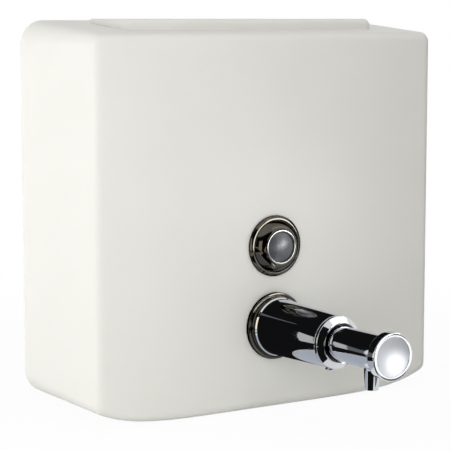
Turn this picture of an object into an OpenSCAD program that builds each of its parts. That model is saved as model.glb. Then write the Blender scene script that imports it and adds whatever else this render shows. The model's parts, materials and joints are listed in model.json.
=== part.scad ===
// Wall-mounted soap dispenser with a push pump, a round sight window and a filler lid.
// Sizes are in millimetres. The wall is the plane y = 0, the front faces -Y and Z is up.
// The origin is the centre of the four wall holes.

/* [Case] */
// width of the front face
front_w = 198; // [170:1:260]
// height of the front face at its sides
front_h = 180; // [160:1:240]
// how far the lower edge bows down between its corners
bow_h = 7; // [2:0.5:10]
// width of the case where it meets the wall
back_w = 208; // [180:1:270]
// depth from the wall to the front face
body_d = 68; // [62:1:90]
// how much higher the case is at the wall than at the front
top_rise = 6; // [3:0.5:12]
// corner radius at the wall, seen from the front
corner_r = 12; // [8:0.5:20]
// corner radius of the front face
front_r = 8; // [7:0.5:14]
// radius of the bend around the front face
bend_r = 4.5; // [3:0.5:7]
// thickness of the case sheet
sheet_t = 1; // [0.8:0.1:1.5]

/* [Wall plate] */
// gap between the edge of the wall plate and the sides of the case
plate_gap = 3; // [2:0.5:12]
// thickness of the wall plate
plate_t = 1.5; // [1:0.1:3]
// distance between the wall holes, sideways
hole_dx = 140; // [100:1:150]
// distance between the wall holes, upward
hole_dz = 100; // [80:1:120]
// radius of a wall hole
hole_r = 2.75; // [2:0.05:3.5]
// radius of the screws that lock the case to the plate
lock_screw_r = 1.95; // [1.5:0.05:2.5]

/* [Tank] */
// gap between the tank's lower corners and the rounded corners of the case
tank_gap = 1; // [0.5:0.1:10]
// gap between the back of the tank and the wall
tank_back = 14; // [12:0.5:18]
// height of the tank's open top above the centre of the wall holes
tank_top = 74; // [50:1:78]
// wall thickness of the tank
tank_t = 2; // [1.5:0.1:3]
// radius of the tank's upright corners
tank_r = 8; // [4:0.5:12]
// thickness of the gaskets between the case and the tank
gasket_t = 3; // [2:0.1:4]

/* [Filler lid] */
// width of the filler opening
filler_w = 120; // [80:1:130]
// length of the filler opening, front to back
filler_l = 24; // [22:0.5:26]
// width of the lid
lid_w = 148; // [140:1:160]
// sheet thickness of the lid
lid_t = 1.2; // [0.8:0.1:1.5]
// how far the level top of the lid stands above the back edge of the case
lid_rise = 0.7; // [0.5:0.1:3]
// distance from the wall to the hinge axis along the sloping top
hinge_back = 9; // [8:0.5:11]
// outer radius of the hinge knuckles
knuckle_r = 2; // [1.8:0.1:2.4]
// radius of the hinge pin
pin_r = 1; // [0.8:0.1:1.3]
// radius of the lock barrel
lock_r = 4; // [3:0.1:5]
// reach of the lock cam from the lock's axis
cam_reach = 9.5; // [9:0.5:11]

/* [Sight window] */
// height of the window's centre above the bottom of the case
window_up = 75; // [70:1:120]
// outer radius of the window bezel
bezel_r = 15.2; // [14:0.1:20]
// how far the bezel stands out of the case
bezel_h = 7.2; // [6.5:0.1:9]
// radius of the clear lens where it shows
lens_r = 7.6; // [7.5:0.05:8.6]

/* [Pump] */
// height of the pump's axis above the bottom of the case
pump_up = 35; // [34:1:42]
// outer radius of the wall flange round the pump
flange_r = 16.8; // [15:0.1:22]
// thickness of the flange
flange_t = 4; // [3:0.1:6]
// radius of the tapered pump barrel at the flange
barrel_base_r = 14.6; // [13:0.1:14.8]
// radius of the pump barrel at its collar
barrel_r = 12.65; // [12.3:0.05:13]
// distance from the case front to the end of the barrel's collar
collar_end = 56.5; // [50:0.5:70]
// length of the collar
collar_l = 4; // [3:0.1:6]
// radius of the threaded shank behind the flange
shank_r = 10.8; // [10.6:0.1:11.2]
// radius of the plunger
plunger_r = 8.3; // [7.9:0.05:8.5]
// distance from the case front to the front of the push button
button_end = 96; // [90:0.5:110]
// radius of the push button
button_r = 11.1; // [10:0.1:13]
// thickness of the push button's rim
button_t = 5.4; // [4:0.1:7]
// depth of the dish in the button
dish_h = 2; // [1:0.1:2.5]
// outer radius of the spout
spout_r = 3.75; // [3:0.05:4.2]
// outer radius of the spout at its tip
spout_tip_r = 3.2; // [2.6:0.05:3.6]
// how far the spout hangs below the plunger
spout_drop = 9.5; // [6:0.5:14]
// bore radius of the pump cylinder
cylinder_r = 6.5; // [6:0.1:6.8]
// travel of the plunger
stroke = 15; // [8:0.5:16]
// radius of the outlet valve's ball
outlet_ball_r = 2.8; // [2.5:0.1:2.9]
// radius of the inlet valve's ball
inlet_ball_r = 3.5; // [3.2:0.1:3.6]

/* [Fits] */
// gap between pieces that are fitted to each other
fit = 0.05; // [0.02:0.01:0.1]
// gap between pieces that must never rub
clear = 0.35; // [0.3:0.05:0.5]

/* [Hidden] */
$fn = 64;

white_paint = [0.93, 0.93, 0.91];
bright_chrome = [0.80, 0.81, 0.83];
dark_nickel = [0.36, 0.35, 0.33];
zinc_steel = [0.66, 0.67, 0.69];
milky_plastic = [0.88, 0.90, 0.90];
black_plastic = [0.10, 0.10, 0.11];
grey_rubber = [0.25, 0.25, 0.26];
clear_plastic = [0.55, 0.60, 0.62];

// heights of the case and of the two axes on its front
base_z = -front_h / 2;
back_top_z = front_h / 2 + top_rise;
window_z = base_z + window_up;
pump_z = base_z + pump_up;

// the bow of the lower edge: shares of the half width where it is set out, and its depth at one of them
bow_steps = [for (turn = [-90:7.5:90]) sin(turn)];
function bow(share) = bow_h * (1 - pow(abs(share), 6));

// the sloping top touches the front bend and meets the wall at full height
bend_dy = body_d - bend_r;
bend_dz = top_rise + bend_r;
top_tilt = atan2(bend_dz, bend_dy) - asin(bend_r / norm([bend_dy, bend_dz]));

// layers behind the front face, counted outward from it, so all of these are negative
gasket_in = -sheet_t - gasket_t;
tank_in = gasket_in - tank_t;
washer_t = 1;
washer_in = tank_in - washer_t;
nut_t = 6;
nut_in = washer_in - nut_t;
nut_af = 28;
ring_r = 15;
panel_hole_r = shank_r + 0.2;

// wall plate and the screws that lock the case to it
lock_screw_x = 40;
lock_screw_back = 7;
lock_screw_l = 6.5;
tab_w = 18;
tab_l = 12.5;
lock_screw_z = base_z - bow(lock_screw_x / (back_w / 2 - corner_r));
tab_z = base_z - bow((lock_screw_x + tab_w / 2) / (back_w / 2 - corner_r)) + sheet_t + 0.1;
hook_x = 76;
hook_w = 18;
hook_l = 11;
hook_back = 0.4;

// tank, narrow enough for its square lower corners to clear the round ones of the case
floor_gap = 1;
corner_in = corner_r - sheet_t;
corner_need = corner_in - sqrt(pow(corner_in, 2) - pow(corner_in - floor_gap, 2));
tank_w = front_w - 2 * (sheet_t + corner_need + tank_gap);
tank_front_y = -body_d - gasket_in;
tank_len = -tank_front_y - tank_back;
tank_floor = base_z + sheet_t + floor_gap;

// filler lid: a level cap on the sloping top, wider than the opening under it
filler_y = -36;
lid_edge = 3;
lid_r = 5;
lid_gap = 0.25;
lid_front = filler_y - filler_l / 2 - lid_edge;
lid_back = -hinge_back - knuckle_r - 1.5 * clear;
lid_l = lid_back - lid_front;
lid_z = back_top_z + lid_rise;
lid_under = lid_z - lid_t;
tongue_t = 0.6;

// hinge, sunk into a slot in the sloping top
hinge_z = 0.8 - knuckle_r;
hinge_half = 60;
knuckle_end = 40;
knuckle_mid = 12;
leaf_front = -hinge_back + knuckle_r + clear;
leaf_back = -plate_t - 0.8;
leaf_t = 1.2;
leaf_z = -sheet_t - leaf_t;
rivet_r = 1.2;
rivet_y = (leaf_front + leaf_back) / 2;
rivet_xs = [-52, -26, 26, 52];
lock_neck_r = lock_r + 1.5;
lock_flange_r = lock_r + 2.1;
lock_y = filler_y - filler_l / 2 + lock_flange_r + clear;
cam_t = 1.5;
cam_tip = lock_y - cam_reach;
cam_top = back_top_z + cam_tip * tan(top_tilt) - sheet_t / cos(top_tilt) - clear;
cam_bottom = cam_top - cam_t;
cam_half = 3;
cam_hub = 2;

// sight window, counted outward from the front face
bezel_bore = lens_r + 1.9;
bezel_rim = 1.2;
bezel_in = nut_in - 3;
lip_t = 2;
lens_front = bezel_h - lip_t;
seal_t = 0.4;
lens_flange = 2.6;
lens_back = lens_front - seal_t - lens_flange;
lens_ring_l = 4.5;
dome_h = 2.2;

// pump, counted outward from the front face
barrel_end = collar_end - collar_l;
shank_in = nut_in - 7;
liner_out = 20;
liner_r = cylinder_r + 2.45;
barrel_bore = liner_r + fit;
bush_l = 8;
bush_in = barrel_end - bush_l;
bush_r = 10.5;
collar_hole = plunger_r + 0.95;
screw_out = bush_in + 4;
screw_slope = (barrel_base_r - barrel_r) / (barrel_end - flange_t);
screw_seat = barrel_r + (barrel_end - screw_out + 2.6) * screw_slope + fit;
button_back = button_end - button_t;
neck_l = 2;
plunger_out = button_back - neck_l;
plunger_in = liner_out + stroke + 1;
rod_r = 5;
rod_out = plunger_in + 8;
flow_r = 2.5;
spout_out = plunger_out - 8.2;
spout_bore = spout_tip_r - 1;
piston_in = -5 + stroke;
piston_l = 9;
piston_r = cylinder_r - 0.1;
seal_in = piston_in + 3;
seal_l = 3;
seal_r = 5.2;
outlet_seat_r = 2.2;
outlet_rise = sqrt(pow(outlet_ball_r, 2) - pow(outlet_seat_r, 2)) + clear;
web_t = 2;
web_in = shank_in - web_t;
spring_wire = 0.5;
spring_r = 4.7;
spring_turns = 8;
elbow_wall = 2;
elbow_grip = 5;
leg_r = 5;
leg_bore = 2.5;
leg_out = web_in - leg_r - leg_bore;
elbow_in = leg_out - leg_r - elbow_wall / 4;
foot_gap = 2;
foot_base = 3;
foot_room = 9;
foot_grip = 6;
foot_wall = 1.8;
foot_bottom = tank_floor + tank_t + foot_gap;
foot_seat = foot_bottom + foot_base;
leg_end = foot_seat + foot_room;
foot_top = leg_end + foot_grip;
foot_r = leg_r + foot_wall;
inlet_rise = sqrt(pow(inlet_ball_r, 2) - pow(leg_bore, 2)) + clear;

// places work in the plane of the sloping top: y runs down the slope, z stands out of it
module on_top() {
    translate([0, 0, back_top_z]) rotate([top_tilt, 0, 0]) children();
}

// places work on the pump's axis: z runs outward from the front face, y is up
module on_pump() {
    translate([0, -body_d, pump_z]) rotate([90, 0, 0]) children();
}

// places work on the window's axis in the same way
module on_window() {
    translate([0, -body_d, window_z]) rotate([90, 0, 0]) children();
}

// a rectangle with true round corners
module round_rect(w, l, r) {
    square([w - 2 * r, l], center = true);
    square([w, l - 2 * r], center = true);
    for (sx = [-1, 1], sy = [-1, 1]) {
        translate([sx * (w / 2 - r), sy * (l / 2 - r)]) circle(r);
    }
}

// a ring from one level to another
module ring(r_in, r_out, from, to) {
    translate([0, 0, from]) difference() {
        cylinder(r = r_out, h = to - from);
        translate([0, 0, -1]) cylinder(r = r_in, h = to - from + 2);
    }
}

// a hexagon nut on a round thread
module hex_nut(hole, from, to) {
    difference() {
        translate([0, 0, from]) cylinder(d = nut_af / cos(30), h = to - from, $fn = 6);
        translate([0, 0, from - 1]) cylinder(r = hole, h = to - from + 2);
    }
}

// the drawn outer form, or the same form drawn in by the sheet thickness
module case_form(inset, back_y, back_h) {
    hull() {
        for (sx = [-1, 1]) {
            front_corner(sx, front_h / 2 - front_r, inset);
            back_corner(sx, back_top_z - corner_r, inset, back_y, back_h);
        }
        for (share = bow_steps) {
            front_corner(share, base_z + front_r - bow(share), inset);
            back_corner(share, base_z + corner_r - bow(share), inset, back_y, back_h);
        }
    }
}

// a rounded corner of the front bend, at a share of the half width and a height
module front_corner(share, z, inset) {
    translate([share * (front_w / 2 - front_r), -bend_dy, z]) rotate([90, 0, 0])
        rotate_extrude($fn = 32) intersection() {
            translate([front_r - bend_r, 0]) circle(bend_r - inset, $fn = 32);
            translate([0, -bend_r]) square([front_r, 2 * bend_r]);
        }
}

// the same corner where the case meets the wall
module back_corner(share, z, inset, back_y, back_h) {
    translate([share * (back_w / 2 - corner_r), back_y, z]) rotate([90, 0, 0])
        cylinder(r = corner_r - inset, h = back_h, $fn = 32);
}

// places one child at each screw that locks the case to the plate
module at_lock_screws() {
    for (x = [-lock_screw_x, lock_screw_x]) {
        translate([x, -lock_screw_back, lock_screw_z]) children();
    }
}

module case_cover() {
    color(white_paint) difference() {
        case_form(0, 0, 0.01);
        case_form(sheet_t, 1, 1);
        on_pump() translate([0, 0, -2 * sheet_t]) cylinder(r = panel_hole_r, h = 4 * sheet_t);
        on_window() translate([0, 0, -2 * sheet_t]) cylinder(r = panel_hole_r, h = 4 * sheet_t);
        on_top() translate([0, filler_y, -2 * sheet_t])
            linear_extrude(4 * sheet_t) round_rect(filler_w, filler_l, 4);
        on_top() translate([-hinge_half - 2 * clear - 0.5, -hinge_back - knuckle_r - clear, -2 * sheet_t])
            cube([2 * hinge_half + 4 * clear + 1, 2 * (knuckle_r + clear), 4 * sheet_t]);
        on_top() for (x = rivet_xs) {
            translate([x, rivet_y, -2 * sheet_t]) cylinder(r = rivet_r + fit, h = 4 * sheet_t);
        }
        at_lock_screws() translate([0, 0, -1]) cylinder(r = lock_screw_r + fit, h = sheet_t + 2);
    }
}

module back_plate() {
    plate_low = base_z + sheet_t + fit;
    plate_high = back_top_z - sheet_t - plate_t / 2;
    plate_w = back_w - 2 * (sheet_t + plate_gap);
    color(zinc_steel) difference() {
        union() {
            translate([0, 0, (plate_low + plate_high) / 2]) rotate([90, 0, 0])
                linear_extrude(plate_t) round_rect(plate_w, plate_high - plate_low, corner_r - sheet_t);
            for (x = [-lock_screw_x, lock_screw_x]) {
                translate([x - tab_w / 2, -tab_l, tab_z]) cube([tab_w, tab_l, plate_t]);
                translate([x - tab_w / 2, -plate_t, tab_z]) cube([tab_w, plate_t, 3 * bow_h]);
            }
            on_top() for (x = [-hook_x, hook_x]) {
                translate([x - hook_w / 2, -hook_l, -sheet_t - fit - plate_t])
                    cube([hook_w, hook_l - hook_back, plate_t]);
            }
        }
        for (sx = [-1, 1], sz = [-1, 1]) {
            translate([sx * hole_dx / 2, 1, sz * hole_dz / 2]) rotate([90, 0, 0])
                cylinder(r = hole_r, h = plate_t + 2);
        }
        at_lock_screws() cylinder(r = lock_screw_r + fit, h = lock_screw_l + 2);
    }
}

module locking_screws() {
    color(zinc_steel) at_lock_screws() difference() {
        translate([0, 0, 0.2]) cylinder(r = lock_screw_r, h = lock_screw_l);
        translate([0, 0, -1]) cylinder(r = lock_screw_r / 2, h = lock_screw_l / 2, $fn = 6);
    }
}

module tank() {
    color(milky_plastic) difference() {
        translate([0, tank_front_y + tank_len / 2, tank_floor])
            linear_extrude(tank_top - tank_floor) round_rect(tank_w, tank_len, tank_r);
        translate([0, tank_front_y + tank_len / 2, tank_floor + tank_t])
            linear_extrude(tank_top - tank_floor)
                round_rect(tank_w - 2 * tank_t, tank_len - 2 * tank_t, tank_r - tank_t);
        on_pump() translate([0, 0, tank_in - 1]) cylinder(r = panel_hole_r, h = tank_t + 2);
        on_window() translate([0, 0, tank_in - 1]) cylinder(r = panel_hole_r, h = tank_t + 2);
    }
}

// a hinge knuckle from one x to another, without its bore
module knuckle(x0, x1) {
    translate([x0, -hinge_back, hinge_z]) rotate([0, 90, 0]) cylinder(r = knuckle_r, h = x1 - x0);
}

// the bore that the hinge pin runs in
module pin_bore() {
    translate([-hinge_half - 5, -hinge_back, hinge_z]) rotate([0, 90, 0])
        cylinder(r = pin_r + fit, h = 2 * hinge_half + 10);
}

module hinge_leaf() {
    color(zinc_steel) on_top() difference() {
        union() {
            translate([-hinge_half, leaf_front, leaf_z])
                cube([2 * hinge_half, leaf_back - leaf_front, leaf_t]);
            for (span = [[-hinge_half, -knuckle_end], [-knuckle_mid, knuckle_mid],
                [knuckle_end, hinge_half]]) {
                knuckle(span[0], span[1]);
                translate([span[0], -hinge_back, leaf_z])
                    cube([span[1] - span[0], knuckle_r + clear + 0.5, leaf_t]);
            }
        }
        pin_bore();
        for (x = rivet_xs) {
            translate([x, rivet_y, leaf_z - 1]) cylinder(r = rivet_r + fit, h = leaf_t + 2);
        }
    }
}

module hinge_pin() {
    color(zinc_steel) on_top() translate([-hinge_half - 0.5, -hinge_back, hinge_z])
        rotate([0, 90, 0]) cylinder(r = pin_r, h = 2 * hinge_half + 1);
}

module hinge_rivets() {
    head_r = rivet_r + 0.8;
    color(zinc_steel) on_top() for (x = rivet_xs) {
        translate([x, rivet_y, leaf_z]) cylinder(r = rivet_r, h = sheet_t + leaf_t);
        translate([x, rivet_y, 0]) cylinder(r = head_r, h = 0.8);
        translate([x, rivet_y, leaf_z - 0.8]) cylinder(r = head_r, h = 0.8);
    }
}

// everything above a level over the sloping top, up to the top of the lid
module above_top(level) {
    difference() {
        translate([-lid_w, lid_front - lid_l, lid_z - 3 * lid_l]) cube([2 * lid_w, 3 * lid_l, 3 * lid_l]);
        on_top() translate([-2 * lid_w, -4 * lid_l, level - 8 * lid_l])
            cube([4 * lid_w, 8 * lid_l, 8 * lid_l]);
    }
}

// an upright block with the lid's outline, drawn in by an inset, up to a height
module lid_block(inset, top) {
    translate([0, lid_front + lid_l / 2, top - lid_l])
        linear_extrude(lid_l) round_rect(lid_w - 2 * inset, lid_l - 2 * inset, lid_r - inset);
}

module filler_lid() {
    color(white_paint) difference() {
        union() {
            intersection() {
                lid_block(0, lid_z);
                above_top(lid_gap);
            }
            on_top() for (side = [-1, 1]) {
                x0 = side > 0 ? knuckle_mid + clear : -knuckle_end + clear;
                span = knuckle_end - knuckle_mid - 2 * clear;
                knuckle(x0, x0 + span);
                translate([x0, lid_back - lid_t / 2, lid_gap])
                    cube([span, -hinge_back - lid_back + lid_t / 2, tongue_t]);
            }
        }
        lid_block(lid_t, lid_under);
        on_top() pin_bore();
        translate([0, lock_y, lid_under - 1]) cylinder(r = lock_neck_r, h = lid_t + 2);
    }
}

module lid_gasket() {
    color(grey_rubber) intersection() {
        difference() {
            lid_block(lid_t + fit, lid_under);
            on_top() translate([0, filler_y, -lid_l])
                linear_extrude(2 * lid_l) round_rect(filler_w + 1, filler_l + 1, 4.5);
        }
        on_top() translate([-lid_w, -2 * lid_l, 0.1]) cube([2 * lid_w, 3 * lid_l, 0.6]);
    }
}

module lock_housing() {
    color(bright_chrome) translate([0, lock_y, 0]) difference() {
        union() {
            translate([0, 0, cam_top + clear])
                cylinder(r = lock_neck_r, h = lid_under - cam_top - clear - 1);
            translate([0, 0, lid_under - 1.2]) cylinder(r = lock_flange_r, h = 1.2);
            translate([0, 0, lid_under]) cylinder(r = lock_neck_r - fit, h = lid_t);
        }
        translate([0, 0, cam_top - 1]) cylinder(r = lock_r + fit, h = lid_z - cam_top + 2);
        translate([0, 0, lid_z - 0.8]) cylinder(r = lock_r + 0.6 + fit, h = 2);
    }
}

module lock_barrel() {
    color(bright_chrome) translate([0, lock_y, 0]) difference() {
        union() {
            translate([0, 0, cam_top + fit]) cylinder(r = lock_r, h = lid_z - cam_top - fit);
            translate([0, 0, lid_z - 0.7]) cylinder(r = lock_r + 0.6, h = 0.7);
            translate([0, 0, cam_bottom]) cylinder(r = cam_hub, h = cam_t + 1);
        }
        translate([-0.6, -2.6, lid_z - 1.2]) cube([1.2, 5.2, 3]);
        translate([0, 0, cam_bottom - 1]) cylinder(r = 0.9 + fit, h = 3.2);
    }
}

module lock_cam() {
    color(zinc_steel) translate([0, lock_y, cam_bottom]) difference() {
        union() {
            cylinder(r = cam_hub + 2, h = cam_t);
            translate([0, -cam_half, 0]) cube([cam_reach - cam_half, 2 * cam_half, cam_t]);
            translate([cam_reach - cam_half, 0, 0]) cylinder(r = cam_half, h = cam_t);
        }
        translate([0, 0, -1]) cylinder(r = cam_hub + fit, h = cam_t + 2);
    }
}

module cam_screw() {
    color(zinc_steel) translate([0, lock_y, cam_bottom]) {
        translate([0, 0, -0.9]) cylinder(r = cam_hub + 1, h = 0.9);
        translate([0, 0, -0.1]) cylinder(r = 0.9, h = 2.2);
    }
}

module window_bezel() {
    edge_r = bezel_r - 2.3;
    neck_r = lens_r + 1.25;
    rise = bezel_h - 3.3;
    steps = 8;
    crown = [for (i = [0:steps]) [edge_r + (neck_r - edge_r) * i / steps,
        2.4 + rise * (i / steps + 0.2 * sin(180 * i / steps))]];
    color(dark_nickel) on_window() rotate_extrude($fn = 96) polygon(concat(
        [[bezel_bore, bezel_in], [shank_r, bezel_in], [shank_r, 0], [bezel_r - 0.7, 0],
        [bezel_r, 0.7], [bezel_r, bezel_rim + 0.2], [bezel_r - 0.4, 2], [bezel_r - 1, 2.2],
        [bezel_r - 1.6, 1.5], [bezel_r - 2.1, 1.6]],
        crown,
        [[lens_r + 1, bezel_h - 0.5], [lens_r + 0.7, bezel_h], [lens_r + 0.3, bezel_h],
        [lens_r + fit, bezel_h - 0.3], [lens_r + fit, lens_front], [bezel_bore, lens_front]]));
}

module window_lens() {
    dome_r = (pow(lens_r, 2) + pow(dome_h, 2)) / (2 * dome_h);
    wall = 1.3;
    rim = bezel_h - 0.8;
    color(clear_plastic) on_window() difference() {
        union() {
            translate([0, 0, lens_back]) cylinder(r = bezel_bore - fit, h = lens_flange);
            translate([0, 0, lens_back]) cylinder(r = lens_r, h = rim - lens_back);
            intersection() {
                translate([0, 0, rim + dome_h - dome_r]) sphere(dome_r, $fn = 96);
                translate([0, 0, rim - 0.1]) cylinder(r = lens_r, h = dome_h + 1);
            }
        }
        translate([0, 0, lens_back - 1]) cylinder(r = lens_r - wall, h = rim - lens_back);
        intersection() {
            translate([0, 0, rim + dome_h - dome_r]) sphere(dome_r - wall, $fn = 96);
            translate([0, 0, rim - 1.1]) cylinder(r = lens_r - wall, h = dome_h + 1);
        }
    }
}

module lens_seal() {
    color(grey_rubber) on_window()
        ring(lens_r + fit, bezel_bore - fit, lens_front - seal_t, lens_front);
}

module lens_ring() {
    color(black_plastic) on_window()
        ring(lens_r, bezel_bore - fit, lens_back - lens_ring_l, lens_back);
}

module window_gasket() {
    color(grey_rubber) on_window() ring(panel_hole_r, ring_r, gasket_in, -sheet_t);
}

module window_washer() {
    color(zinc_steel) on_window() ring(panel_hole_r, ring_r, washer_in, tank_in);
}

module window_nut() {
    color(black_plastic) on_window() hex_nut(shank_r + fit, nut_in, washer_in);
}

module pump_flange() {
    groove_r = flange_r - 1.6;
    color(dark_nickel) on_pump() rotate_extrude($fn = 96) polygon([
        [shank_r + fit, 0], [flange_r - 1.2, 0], [flange_r - 0.4, 0.12 * flange_t],
        [flange_r, 0.38 * flange_t], [flange_r - 0.25, 0.6 * flange_t],
        [flange_r - 0.8, 0.74 * flange_t], [groove_r + 0.3, 0.74 * flange_t],
        [groove_r, 0.62 * flange_t], [groove_r - 0.2, 0.64 * flange_t],
        [groove_r - 0.25, 0.88 * flange_t], [groove_r - 0.5, flange_t], [shank_r + fit, flange_t]]);
}

module pump_barrel() {
    color(bright_chrome) on_pump() difference() {
        rotate_extrude($fn = 96) polygon([
            [barrel_bore, shank_in], [shank_r, shank_in], [shank_r, flange_t],
            [barrel_base_r - 0.4, flange_t], [barrel_base_r, flange_t + 0.4],
            [barrel_r, barrel_end - 0.3], [barrel_r - 0.3, barrel_end], [bush_r, barrel_end],
            [bush_r, bush_in], [barrel_bore, bush_in]]);
        translate([0, 0, screw_out]) rotate([90, 0, 0])
            cylinder(r = 1.5 + fit, h = barrel_base_r);
    }
}

module barrel_collar() {
    color(bright_chrome) on_pump() rotate_extrude($fn = 96) polygon([
        [collar_hole, barrel_end], [barrel_r - 0.4, barrel_end], [barrel_r, barrel_end + 0.4],
        [barrel_r, collar_end - 2.3], [barrel_r - 0.25, collar_end - 1.85],
        [barrel_r - 1.7, collar_end - 0.75], [collar_hole + 0.7, collar_end],
        [collar_hole + 0.2, collar_end - 0.1], [collar_hole, collar_end - 0.5]]);
}

module bush_screw() {
    color(bright_chrome) on_pump() translate([0, 0, screw_out]) rotate([90, 0, 0]) {
        translate([0, 0, bush_r]) cylinder(r = 1.5, h = screw_seat - bush_r + 0.2);
        translate([0, 0, screw_seat]) cylinder(r = 2.6, h = 1.2);
    }
}

module guide_bush() {
    color(black_plastic) on_pump() ring(plunger_r + fit, bush_r - fit, bush_in, barrel_end);
}

module pump_liner() {
    color(milky_plastic) on_pump() ring(cylinder_r, liner_r, shank_in, liner_out);
}

module pump_gasket() {
    color(grey_rubber) on_pump() ring(panel_hole_r, ring_r, gasket_in, -sheet_t);
}

module pump_washer() {
    color(zinc_steel) on_pump() ring(panel_hole_r, ring_r, washer_in, tank_in);
}

module pump_nut() {
    color(black_plastic) on_pump() hex_nut(shank_r + fit, nut_in, washer_in);
}

module inlet_elbow() {
    leg_h = pump_z - leg_end;
    color(milky_plastic) on_pump() difference() {
        union() {
            translate([0, 0, web_in]) cylinder(r = shank_r + elbow_wall, h = web_t + elbow_grip);
            translate([0, 0, elbow_in]) cylinder(r = leg_r + elbow_wall, h = web_in - elbow_in);
            translate([0, 0, leg_out]) rotate([90, 0, 0]) cylinder(r = leg_r, h = leg_h);
        }
        translate([0, 0, shank_in]) cylinder(r = shank_r + fit, h = elbow_grip + 1);
        translate([0, 0, leg_out - leg_bore])
            cylinder(r = leg_bore, h = shank_in - leg_out + 2 * leg_bore);
        translate([0, 0, leg_out]) rotate([90, 0, 0]) cylinder(r = leg_bore, h = leg_h + 1);
    }
}

// places work on the inlet's upright axis at a height in the row's frame
module on_inlet(z) {
    translate([0, -body_d - leg_out, z]) children();
}

module foot_valve() {
    color(milky_plastic) difference() {
        on_inlet(foot_bottom) cylinder(r = foot_r, h = foot_top - foot_bottom);
        on_inlet(foot_bottom - 1) cylinder(r = leg_bore, h = foot_base + 2);
        on_inlet(foot_seat) cylinder(r = inlet_ball_r + 0.7, h = foot_room + 0.1);
        on_inlet(leg_end) cylinder(r = leg_r + fit, h = foot_grip + 1);
    }
}

module inlet_ball() {
    color(zinc_steel) on_inlet(foot_seat + inlet_rise) sphere(inlet_ball_r);
}

module return_spring() {
    from = shank_in + spring_wire + fit;
    to = piston_in - spring_wire - fit;
    color(zinc_steel) on_pump() translate([0, 0, from])
        linear_extrude(to - from, twist = -360 * spring_turns, slices = 16 * spring_turns, $fn = 8)
            translate([spring_r, 0]) circle(spring_wire);
}

module plunger_tube() {
    color(bright_chrome) on_pump() difference() {
        translate([0, 0, plunger_in]) cylinder(r = plunger_r, h = plunger_out - plunger_in, $fn = 96);
        translate([0, 0, plunger_in - 1]) cylinder(r = rod_r + fit, h = rod_out - plunger_in + 1);
        translate([0, 0, rod_out - 1]) cylinder(r = flow_r, h = spout_out - rod_out + 3);
        translate([0, 0, plunger_out - 4]) cylinder(r = 4 + fit, h = 5);
        translate([0, 0, spout_out]) rotate([90, 0, 0])
            cylinder(r = spout_r + fit, h = plunger_r + 1);
    }
}

module push_button() {
    dish_edge = button_r - 1.2;
    dish_r = (pow(dish_edge, 2) + pow(dish_h, 2)) / (2 * dish_h);
    color(bright_chrome) on_pump() difference() {
        rotate_extrude($fn = 96) polygon([
            [0, plunger_out - 3.8], [4, plunger_out - 3.8], [4, plunger_out],
            [plunger_r - 0.3, plunger_out], [plunger_r - 0.5, button_back - 0.4],
            [button_r - 0.8, button_back], [button_r - 0.2, button_back + 0.6],
            [button_r, button_back + 1.4], [button_r, button_end - 1.2],
            [button_r - 0.3, button_end - 0.4], [button_r - 0.9, button_end], [0, button_end]]);
        translate([0, 0, button_end - dish_h + dish_r]) sphere(dish_r, $fn = 128);
    }
}

module spout() {
    top = flow_r + 0.8;
    tip = plunger_r + spout_drop;
    color(bright_chrome) on_pump() translate([0, 0, spout_out]) rotate([90, 0, 0])
        rotate_extrude() polygon([[spout_bore, top], [spout_r, top], [spout_r, plunger_r],
            [spout_tip_r, tip], [spout_bore, tip]]);
}

module piston() {
    color(black_plastic) on_pump() rotate_extrude() polygon([
        [outlet_seat_r, piston_in], [piston_r, piston_in], [piston_r, seal_in],
        [seal_r, seal_in], [seal_r, seal_in + seal_l], [piston_r, seal_in + seal_l],
        [piston_r, piston_in + piston_l], [rod_r, piston_in + piston_l], [rod_r, rod_out - fit],
        [outlet_ball_r + 0.5, rod_out - fit], [outlet_ball_r + 0.5, plunger_in],
        [outlet_seat_r, plunger_in]]);
}

module piston_seal() {
    color(grey_rubber) on_pump()
        ring(seal_r + fit, cylinder_r - fit, seal_in + fit, seal_in + seal_l - fit);
}

module outlet_ball() {
    color(zinc_steel) on_pump() translate([0, 0, plunger_in + outlet_rise]) sphere(outlet_ball_r);
}

case_cover();
back_plate();
locking_screws();
tank();
hinge_leaf();
hinge_pin();
hinge_rivets();
filler_lid();
lid_gasket();
lock_housing();
lock_barrel();
lock_cam();
cam_screw();
window_bezel();
window_lens();
lens_seal();
lens_ring();
window_gasket();
window_washer();
window_nut();
pump_flange();
pump_barrel();
barrel_collar();
bush_screw();
guide_bush();
pump_liner();
pump_gasket();
pump_washer();
pump_nut();
inlet_elbow();
foot_valve();
inlet_ball();
return_spring();
plunger_tube();
push_button();
spout();
piston();
piston_seal();
outlet_ball();
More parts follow.
